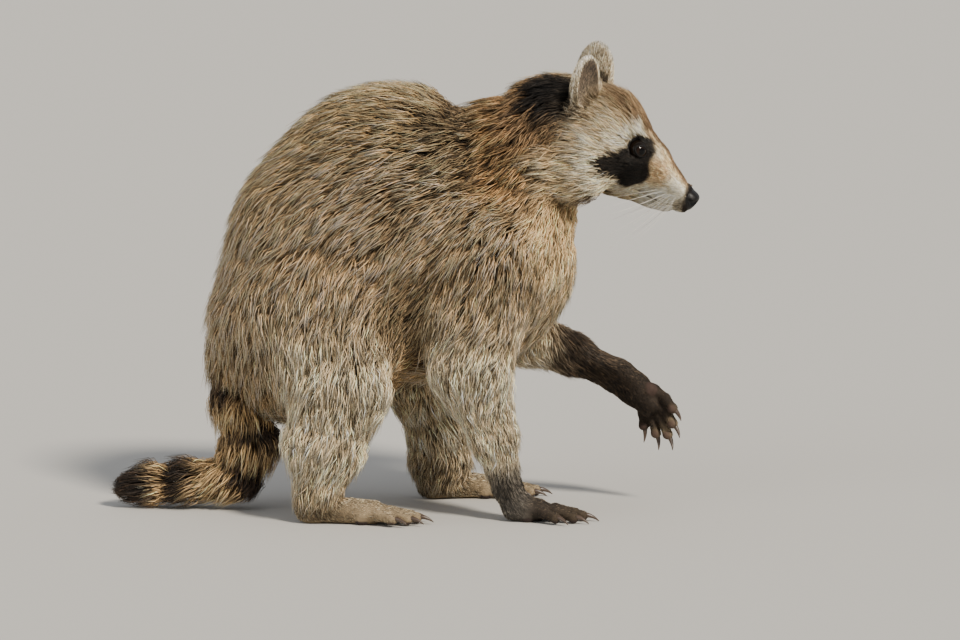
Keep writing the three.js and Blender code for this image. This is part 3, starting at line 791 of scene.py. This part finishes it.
def scattered(points, faces, wanted):
    """Roots spread evenly for the cover wanted: their faces and their weights on the corners."""
    corners = points[faces]
    area = np.linalg.norm(np.cross(corners[:, 1] - corners[:, 0], corners[:, 2] - corners[:, 0]), axis=1) / 2
    total = np.cumsum(area * wanted)
    places = (np.arange(TUFT_COUNT) + RANDOM.uniform(0, 1, TUFT_COUNT)) / TUFT_COUNT * total[-1]
    face = np.minimum(np.searchsorted(total, places), len(faces) - 1)
    u, v = np.sqrt(RANDOM.uniform(0, 1, TUFT_COUNT)), RANDOM.uniform(0, 1, TUFT_COUNT)
    weights = np.column_stack([1 - u, u * (1 - v), u * v])
    return face, weights


def at_corners(values, weights):
    """Values at the three corners of each face, weighted and added up."""
    return (values * weights[:, :, None]).sum(1)


# ---- Tufts ----
ROOT_SUNK = 0.4  # how far a tuft's root lies below the skin


def grown(roots, normals, way, length, height):
    """The tips of tufts of a given length and height over the skin."""
    reach = np.sqrt(length**2 - height**2)
    return roots + way * reach[:, None] + normals * height[:, None]


def inside_coat(p, normals, over):
    """Points that stand more than a given distance out of the coat, brought back along the normals."""
    return p - normals * np.clip(coat_distance(p) - over, 0, 12)[:, None]


def clumped(roots, tips, depth):
    """Tips drawn towards those of a few guides, so that the hair falls in locks, and each tuft's lock."""
    guides = np.flatnonzero(RANDOM.uniform(0, 1, len(roots)) < 1 / TUFTS_PER_LOCK)
    tree = kdtree.KDTree(len(guides))
    for number, guide in enumerate(guides):
        tree.insert(roots[guide], number)
    tree.balance()
    lock = np.array([tree.find(root)[1] for root in roots])
    nearest = guides[lock]
    apart = np.linalg.norm(roots - roots[nearest], axis=1)
    pull = (0.1 + 0.45 * ramp(depth, 2, 9)) * ramp(apart, 14, 8)
    return tips + (tips[nearest] - tips) * pull[:, None], lock


def strand_points(roots, bends, tips, normals, across):
    """A root, a three-sided ring at the bend, and a tip."""
    half = np.linalg.norm(across, axis=1)[:, None]
    out = unit(np.cross(tips - bends, across)) * half
    return [roots - normals * ROOT_SUNK, bends - across, bends + across, bends + out, tips]


def blade_points(roots, bends, tips, normals, across):
    """A nearly straight blade with a ridge."""
    base = roots - normals * ROOT_SUNK
    half = np.linalg.norm(across, axis=1)[:, None]
    return [base - across, base + across, (roots + tips + bends) / 3 + normals * half * 0.5, tips]


# For each kind of tuft: its points, its triangles, where the points lie in its OFBake patch, and which of
# the hair's three colours they take.
KINDS = {
    "strand": (strand_points, [(0, 2, 1), (1, 2, 4), (0, 3, 2), (2, 3, 4), (0, 1, 3), (3, 1, 4)],
               [(0, -0.5), (-0.4, -0.2), (0.4, -0.2), (0, -0.1), (0, 0.5)], [0, 1, 1, 1, 2]),
    "blade": (blade_points, [(1, 0, 2), (1, 2, 3), (0, 3, 2), (0, 1, 3)],
              [(-0.4, -0.4), (0.4, -0.4), (0, 0), (0, 0.5)], [0, 0, 1, 2]),
}


# ---- Blender objects ----
def row(p):
    """Millimetres of the body's frame as metres of the row's frame."""
    return (p + OFFSET) * MM


def linked(name, data):
    made = bpy.data.objects.new(name, data)
    bpy.context.scene.collection.objects.link(made)
    return made


def object_from(name, points, faces, look, colours=None, body=True):
    """A piece, with a colour (0 to 255) for it or for each of its points."""
    mesh = bpy.data.meshes.new(name)
    mesh.vertices.add(len(points))
    mesh.vertices.foreach_set("co", points.astype(np.float32).ravel())
    mesh.loops.add(faces.size)
    mesh.loops.foreach_set("vertex_index", faces.astype(np.int32).ravel())
    mesh.polygons.add(len(faces))
    mesh.polygons.foreach_set("loop_start", np.arange(0, faces.size, faces.shape[1], dtype=np.int32))
    mesh.update(calc_edges=True)
    mesh.validate()
    mesh.shade_smooth()
    mesh.materials.append(look)
    if colours is not None:
        rgba = np.ones((len(points), 4), np.float32)
        rgba[:, :3] = linear(colours)
        mesh.color_attributes.new("Coat", "FLOAT_COLOR", "POINT").data.foreach_set("color", rgba.ravel())
    piece = linked(name, mesh)
    if body:
        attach(piece, "root")
    return piece


def unwrapped(piece):
    """The OFBake map of a piece, unwrapped on its own shape."""
    piece.data.uv_layers.new(name="OFBake")
    bpy.context.view_layer.objects.active = piece
    piece.select_set(True)
    bpy.ops.object.mode_set(mode="EDIT")
    bpy.ops.mesh.select_all(action="SELECT")
    bpy.ops.uv.smart_project(angle_limit=math.radians(66), island_margin=0.002)
    bpy.ops.object.mode_set(mode="OBJECT")
    piece.select_set(False)
    places = np.zeros(len(piece.data.loops) * 2, np.float32)
    piece.data.uv_layers["OFBake"].data.foreach_get("uv", places)
    return places.reshape(-1, 3, 2)


def set_inputs(look, node, values):
    """A node's inputs, each set to a value or joined to another node's output."""
    for key, value in values.items():
        if isinstance(value, bpy.types.NodeSocket):
            look.node_tree.links.new(value, node.inputs[key])
        else:
            node.inputs[key].default_value = value


def material(name, rough, specular=0.5, colour=None, bump=None, noise=None):
    """A surface: a plain colour (0 to 255) or the painted one, which noise of (scale, least, most) varies,
    and a bump of (kind, scale, depth)."""
    made = bpy.data.materials.new(name)
    made.use_nodes = True
    nodes = made.node_tree.nodes
    if colour:
        base = (*linear(np.array(colour)), 1)
    else:
        paint = nodes.new("ShaderNodeAttribute")
        paint.attribute_name = "Coat"
        base = paint.outputs["Color"]
    values = {"Roughness": rough, "Specular IOR Level": specular}

    def node(kind, inputs):
        added = nodes.new("ShaderNode" + kind)
        set_inputs(made, added, inputs)
        return added

    place = node("TexCoord", {}).outputs["Object"]
    if noise:
        scale, low, high = noise
        grain = node("TexNoise", {"Vector": place, "Scale": scale, "Detail": 3}).outputs["Fac"]
        ends = {"From Min": 0.3, "From Max": 0.7, "To Min": low, "To Max": high}
        product = nodes.new("ShaderNodeVectorMath")
        product.operation = "SCALE"
        set_inputs(made, product, {0: base, "Scale": node("MapRange", {"Value": grain, **ends}).outputs[0]})
        base = product.outputs["Vector"]
    if bump:
        kind, scale, depth = bump
        relief = node(kind, {"Vector": place, "Scale": scale}).outputs[0]
        lift = node("Bump", {"Strength": 1, "Distance": depth, "Height": relief})
        values["Normal"] = lift.outputs["Normal"]
    set_inputs(made, nodes["Principled BSDF"], {"Base Color": base, **values})
    return made


# ---- The skin and the coat ----
eye_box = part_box("eye_right")
OFFSET = np.array((eye_box[0] + eye_box[1]) / 2) / MM - eye_centre(-1)
FLESH = sorted(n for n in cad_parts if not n.startswith(("eye_", "claw_")) and n != "nose")

skin_points, skin_faces = skin_mesh()
skin_grain = ("TexNoise", 900, 0.0004)
skin_look = material("skin", 0.8, specular=0.2, bump=skin_grain, noise=(220, 0.8, 1.15))
skin_normals = unit(slope(skin_distance, skin_points, skin_distance(skin_points), 0.6))
skin_share, skin_flow = zones_and_flow(skin_points, skin_normals)
skin_coat, skin_bare = coat_at(skin_points, skin_normals, skin_share)
skin_depth = np.clip(-coat_distance(skin_points), 0.3, 16)
deep = ramp(skin_depth, 1.0, 5.0)[:, None]
under_hair = skin_coat.colours[:, 1] * (1 - deep) * 0.85 + skin_coat.colours[:, 0] * deep * 0.9
bare = skin_bare[:, None]
skin_colours = under_hair * (1 - bare) + skin_coat.colours[:, 1] * bare
skin = object_from("skin", row(skin_points), skin_faces, skin_look, skin_colours)
skin_uv = unwrapped(skin)
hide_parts(*FLESH)

length, width = lengths_and_widths(skin_points, skin_share, skin_depth)
density = coverage(skin_points, skin_share, skin_depth) / (0.5 * length * width)
face, weights = scattered(skin_points, skin_faces, density[skin_faces].mean(1))
corner = skin_faces[face]
roots = at_corners(skin_points[corner], weights)
normals = unit(at_corners(skin_normals[corner], weights))
way = at_corners(skin_flow[corner], weights)
share = {zone: (values[corner] * weights).sum(1) for zone, values in skin_share.items()}
depth = (skin_depth[corner] * weights).sum(1)
root_uv = at_corners(skin_uv[face], weights)


def scatter(low, high):
    return RANDOM.uniform(low, high, TUFT_COUNT)


swirl = wobble(roots, 70, 14) + wobble(roots, 24, 12)  # degrees by which the lie turns from the flow
turn = np.radians((swirl + RANDOM.normal(0, LIE_SPREAD, TUFT_COUNT)) * ramp(depth, 0, 6))
way = unit(along_skin(way, normals))
way = way * np.cos(turn)[:, None] + np.cross(normals, way) * np.sin(turn)[:, None]
length, width = lengths_and_widths(roots, share, depth)
guard = (scatter(0, 1) < GUARD_SHARE) & (depth > STRAND_DEPTH)
stray = guard & (scatter(0, 1) < STRAY_SHARE)
length *= scatter(0.75, 1.2) * (1 + GUARD_EXTRA * guard)
level = np.where(guard, scatter(0.9, 1.08), scatter(0.3, 0.9))  # how high in the coat each tuft lies
steepest = 0.4 + 0.45 * ramp(depth, 2, 8)  # of a tuft's height over its length
height = np.minimum(depth * level, steepest * length)
for _ in range(4):
    tips = grown(roots, normals, way, length, height)
    blocked = over_eye(tips, LASH_MARGIN) | over_eye((roots + tips) / 2, LASH_MARGIN)
    length[blocked] *= SHORTENED
    height[blocked] *= SHORTENED
tips, lock = clumped(roots, grown(roots, normals, way, length, height), depth)
over = scatter(-0.6, 1.2) * (0.4 + depth / 10) + STRAY_OUT * stray  # how far out of the coat a tip may stand
tips = inside_coat(tips, normals, over)
tips -= way * np.clip(coat_distance(tips) - over, 0, length)[:, None]
sideways = np.cross(normals, way) * (scatter(-0.06, 0.06) * length)[:, None]
rise = height * scatter(0.64, 0.82)
along = along_skin(tips - roots, normals) * scatter(0.42, 0.54)[:, None]
bends = inside_coat(roots + along + normals * rise[:, None] + sideways, normals, over - 0.5)
across = unit(np.cross(normals, tips - roots)) * (width / 2)[:, None]
kept = length > SHORTEST
for places in (tips, bends):
    kept &= (places[:, 2] > TIP_CLEARANCE) & ~over_eye(places, LASH_MARGIN)

seen = roots + way * (0.5 * length * (1 - share["ear"]))[:, None]
coat, _ = coat_at(seen, normals, share)
lock_shade = RANDOM.uniform(0.82, 1.18, lock.max() + 1)[lock]
deepest_undercoat_and_painted_shade = 0.55 + 0.32 * share["head"]  # the tone of the hair that lies deepest: the darker undercoat, with painted shade down in the coat
# Each tuft's tone varies at random and by lock, and is darker the deeper it lies: partly the darker
# undercoat, partly painted shade between the hairs, less so on the face.
tone_and_painted_shade = RANDOM.normal(1, 0.16, TUFT_COUNT) * lock_shade * (deepest_undercoat_and_painted_shade + (1.13 - deepest_undercoat_and_painted_shade) * ramp(level, 0.35, 0.9))
dark = (scatter(0, 1) < coat.dark * 0.8) & ~stray
tone_and_painted_shade = np.where(dark, tone_and_painted_shade * scatter(0.4, 0.65), tone_and_painted_shade)
frosted = np.where((scatter(0, 1) < 0.5) | guard, 1.0, scatter(0.0, 0.5))
frosted = np.where(dark, 0.15, frosted)[:, None]
end = coat.colours[:, 1] + (coat.colours[:, 2] - coat.colours[:, 1]) * frosted
stops = np.stack([coat.colours[:, 0], coat.colours[:, 1], end], 1) * tone_and_painted_shade[:, None, None]
stops = np.clip(stops, 6, 250)

most = np.array([share[zone] for zone in ZONES]).argmax(0)
SLOTS = {"trunk": "fur_grey", "neck": "fur_brown", "head": "fur_pale", "ear": "fur_grey", "leg": "fur_grey",
         "paw": "paw", "tail": "fur_ringed"}
fur_look = material("fur", 0.6, specular=0.35)


def fur_piece(name, kind, chosen, slot):
    shape, triangles, patch, stop = KINDS[kind]
    points = np.stack(shape(*(v[chosen] for v in (roots, bends, tips, normals, across))), 1)
    faces = (np.arange(len(chosen))[:, None, None] * len(patch) + triangles).reshape(-1, 3)
    colours = stops[chosen][:, stop].reshape(-1, 3)
    piece = object_from(name, row(points.reshape(-1, 3)), faces, fur_look, colours)
    places = (root_uv[chosen][:, None] + np.array(patch) * PATCH).reshape(-1, 2)[faces.ravel()]
    piece.data.uv_layers.new(name="OFBake").data.foreach_set("uv", places.astype(np.float32).ravel())


for number, zone in enumerate(ZONES):
    for kind, of_kind in (("strand", depth >= STRAND_DEPTH), ("blade", depth < STRAND_DEPTH)):
        members = np.flatnonzero(kept & (most == number) & of_kind)
        parts = math.ceil(len(members) * len(KINDS[kind][1]) / TRIANGLES_PER_PIECE)
        for part in range(parts):
            fur_piece(f"fur_{zone}_{kind}_{part + 1}", kind, members[part::parts], SLOTS[zone])


# ---- Eyes ----
def closed_faces(rings, sides):
    """The faces along a row of rings, closed at its ends by the two points after them."""
    faces = []
    for k in range(sides):
        after = (k + 1) % sides
        faces.append((rings * sides, after, k))
        faces.append((rings * sides + 1, (rings - 1) * sides + k, (rings - 1) * sides + after))
        for ring in range(rings - 1):
            a, b = ring * sides + k, ring * sides + after
            faces += [(a, b, b + sides), (a, b + sides, a + sides)]
    return np.array(faces)


eye_look = material("eye", 0.04, specular=0.18)
lid_look = material("lid", 0.55, specular=0.2, bump=("TexNoise", 1500, 0.0002))
EYE_EDGE, IRIS, PUPIL, LID_COLOUR = np.array([[20, 14, 10], [30, 18, 11], [5, 4, 4], [13, 11, 10]], float)
CORNEA_BULGE = 0.35
# The lids' section as a closed line of points: degrees past the opening, and distance from the eye's centre.
LID_SECTION = [(-3, 6.9), (-1, 7.3), (1, 7.5), (4, 7.55), (9, 7.35), (18, 6.7), (12, 6.0), (-3, 6.1)]
BALL_RINGS, BALL_STEPS, LID_STEPS = 39, 56, 72


def placed(side, angle, turn, radius):
    """Points round one eye, by their angle from the gaze, their turn about it and their distance."""
    out, to_nose, up = eye_axes(side)
    around = to_nose * np.cos(turn)[:, None] + up * np.sin(turn)[:, None]
    return eye_centre(side) + radius * (out * np.cos(angle)[:, None] + around * np.sin(angle)[:, None])


def round_turns(steps):
    return np.arange(steps) * 2 * math.pi / steps


for side, name in ((-1, "right"), (1, "left")):
    angle = np.repeat(np.arange(1, BALL_RINGS + 1) * math.pi / (BALL_RINGS + 1), BALL_STEPS)
    angle = np.append(angle, [0, math.pi])
    turns = np.append(np.tile(round_turns(BALL_STEPS), BALL_RINGS), [0, 0])
    radius = EYE_RADIUS + CORNEA_BULGE * ramp(angle, 0.75, 0.1)
    places = placed(side, angle, turns, radius[:, None])
    faces = closed_faces(BALL_RINGS, BALL_STEPS)[:, ::side]
    degrees = np.degrees(angle)
    tint = np.tile(EYE_EDGE, (len(angle), 1))
    tint += (IRIS - tint) * band(degrees, 22, 36, 6)[:, None]
    tint += (PUPIL - tint) * ramp(degrees, 24, 18)[:, None]
    ball = object_from(f"eye_{name}_ball", row(places), faces, eye_look, tint)
    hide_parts(f"eye_{name}")
    turns = round_turns(LID_STEPS)
    rings = [placed(side, np.radians(opening(turns) + past), turns, radius) for past, radius in LID_SECTION]
    here = np.arange(len(rings) * LID_STEPS).reshape(-1, LID_STEPS)
    after = np.roll(here, -1, 0)
    faces = np.stack([here, after, np.roll(after, -1, 1), np.roll(here, -1, 1)], 2).reshape(-1, 4)
    lid = object_from(f"lid_{name}", row(np.concatenate(rings)), faces[:, ::-side], lid_look, LID_COLOUR)


# ---- Nose ----
NOSTRIL = [at(87.3, 3.6, -4.4, 2.0, 0), at(85.0, 6.8, -5.8, 1.7, 0), at(81.4, 8.7, -4.4, 0.9, 0)]
PHILTRUM = [at(88.3, 0, -2.6, 0.45, 0), at(85.7, 0, -13, 0.6, 0)]
# Its front and its top are flattened: a point on each plane, and the way the plane faces.
NOSE_FRONT = (np.array([87.7, 0, -4.2]), np.array([0.97, 0, -0.24]))
NOSE_TOP = (np.array([82.3, 0, 2.3]), np.array([0.26, 0, 0.97]))


def nose_distance(q):
    d = ellipsoid_distance(NOSE_LEATHER, q)
    for place, facing in (NOSE_FRONT, NOSE_TOP):
        d = -smooth_union(-d, -((q - place) @ facing), 3.5)
    d = smooth_cut(d, chain_distance(NOSTRIL, mirrored(q), 0, 1), 0.8)
    return smooth_cut(d, chain_distance(PHILTRUM, q, 0, 1), 0.8)


points, faces = surface_net(nose_distance, (70, -11, -15), (92, 11, 6), 0.45)
points = settled(nose_distance, points, 2, 0.3)
nose_look = material("nose_leather", 0.42, bump=("TexVoronoi", 1300, 0.00008), specular=0.3)
inside = chain_distance(NOSTRIL, mirrored(points), 0, 1)  # low deep in the nostrils, where the colour is darkened as painted shade
nose_colours_with_painted_shade = np.array([19, 16, 16]) * (0.25 + 0.75 * ramp(inside, -0.2, 1.6))[:, None]
nose = object_from("nose_leather", row(out_of_head(points)), faces, nose_look, nose_colours_with_painted_shade)
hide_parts("nose")


# ---- Tubes: claws and whiskers ----
def tube(path, radii, sides):
    """A closed round tube along a path."""
    path = np.array(path, float)
    along = unit(np.gradient(path, axis=0))
    first = unit(np.cross(along[0], [0.3, 0.2, 0.93]))
    points = []
    for place, way, radius in zip(path, along, radii):
        first = unit(first - way * (first @ way))
        second = np.cross(way, first)
        turn = round_turns(sides)
        ring = np.cos(turn)[:, None] * first + np.sin(turn)[:, None] * second
        points.append(place + ring * radius)
    return np.concatenate(points + [path[:1], path[-1:]]), closed_faces(len(path), sides)


def joined(shapes):
    points, faces, start = [], [], 0
    for shape_points, shape_faces in shapes:
        points.append(shape_points)
        faces.append(shape_faces + start)
        start += len(shape_points)
    return np.concatenate(points), np.concatenate(faces)


CLAW_LENGTH, CLAW_SUNK, CLAW_RISE = 8.8, 2.2, 0.8  # out of the toe, into it, and over its axis
CLAW_SECTIONS = [(0, 1.9), (0.55, 1.75), (0.75, 1.5), (0.6, 1.15), (0.1, 0.75), (-0.9, 0.22)]  # rise, radius


def claw(foot, number):
    joints, out = digit(foot, number)
    start = joints[2] + out * (foot.radius * DIGIT_TAPER[2] - CLAW_SUNK) + foot.up * CLAW_RISE
    step = (CLAW_LENGTH + CLAW_SUNK) / (len(CLAW_SECTIONS) - 1)
    path = [start + out * step * k + foot.up * rise for k, (rise, _) in enumerate(CLAW_SECTIONS)]
    return tube(path, [radius for _, radius in CLAW_SECTIONS], 10)


points, faces = joined([claw(foot, number) for foot in PAWS.values() for number in DIGITS])
claw_look = material("claw", 0.33, noise=(500, 0.85, 1.1))
claws = object_from("claws", row(points), faces, claw_look, np.array([74, 60, 50]))
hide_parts(*sorted(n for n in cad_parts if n.startswith("claw_")))


WHISKERS_A_SIDE, WHISKERS_A_LINE = 13, 5
WHISKER_RADIUS = 0.13


def whiskers():
    shapes = []
    for side in (1, -1):
        for number in range(WHISKERS_A_SIDE):
            line, place = divmod(number, WHISKERS_A_LINE)
            x = 73 - place * 3.6 + RANDOM.uniform(-0.8, 0.8)
            seed = np.array([[x, 11.5 * side, -4.5 - line * 3.2 + RANDOM.uniform(-0.6, 0.6)]])
            root = settled(lambda p: body_distance(p, 1), out_of_head(seed), 6)[0]
            root = into_head(root) - [0, 0.8 * side, 0]
            long = RANDOM.uniform(26, 46)
            out = unit(np.array([-0.1 - place * 0.14, side * RANDOM.uniform(0.6, 0.85), -0.4 - 0.16 * line]))
            droop = np.array([-0.55, 0.0, -0.34 - 0.1 * line])
            along = np.linspace(0, 1, 9)
            path = [root + out * long * t + droop * long * 0.5 * t**2 for t in along]
            shapes.append(tube(path, WHISKER_RADIUS * (1 - along * 0.75), 4))
    return joined(shapes)


points, faces = whiskers()
whisker_look = material("whisker", 0.4, colour=(226, 220, 208))
whisker = object_from("whiskers", row(out_of_head(points)), faces, whisker_look)

# ---- Floor, light and camera ----
FLOOR_CORNERS = 60 * np.array([[-1, -1, 0], [1, -1, 0], [1, 1, 0], [-1, 1, 0]])  # metres
floor_look = material("floor", 0.9, specular=0.2, colour=(200, 198, 193))
floor = object_from("floor", FLOOR_CORNERS, np.array([[0, 1, 2, 3]]), floor_look, body=False)

world = bpy.data.worlds.new("studio")
world.use_nodes = True
set_inputs(world, world.node_tree.nodes["Background"], {"Color": (0.86, 0.88, 0.92, 1), "Strength": 0.5})
bpy.context.scene.world = world


def sun(name, place, strength, softness, tint):
    data = bpy.data.lights.new(name, "SUN")
    data.energy = strength
    data.angle = math.radians(softness)
    data.color = tint
    linked(name, data).rotation_euler = Vector(place).to_track_quat("Z", "Y").to_euler()


sun("key", (0.75, -1.25, 1.15), 4.6, 10, (1, 0.92, 0.8))
sun("fill", (-1.4, -1.3, 0.7), 0.6, 40, (0.94, 0.97, 1))

CAMERA_AIM = np.array([57.6, 0, 138])
CAMERA_RISE = math.radians(6)
CAMERA_AWAY = 3.84  # metres
view = linked("camera", bpy.data.cameras.new("camera"))
view.data.lens = 200
view.data.sensor_width = 36
view.data.clip_end = 40
aim = Vector(row(CAMERA_AIM))
view.location = aim + Vector((0, -math.cos(CAMERA_RISE), math.sin(CAMERA_RISE))) * CAMERA_AWAY
view.rotation_euler = (aim - view.location).to_track_quat("-Z", "Y").to_euler()
bpy.context.scene.camera = view
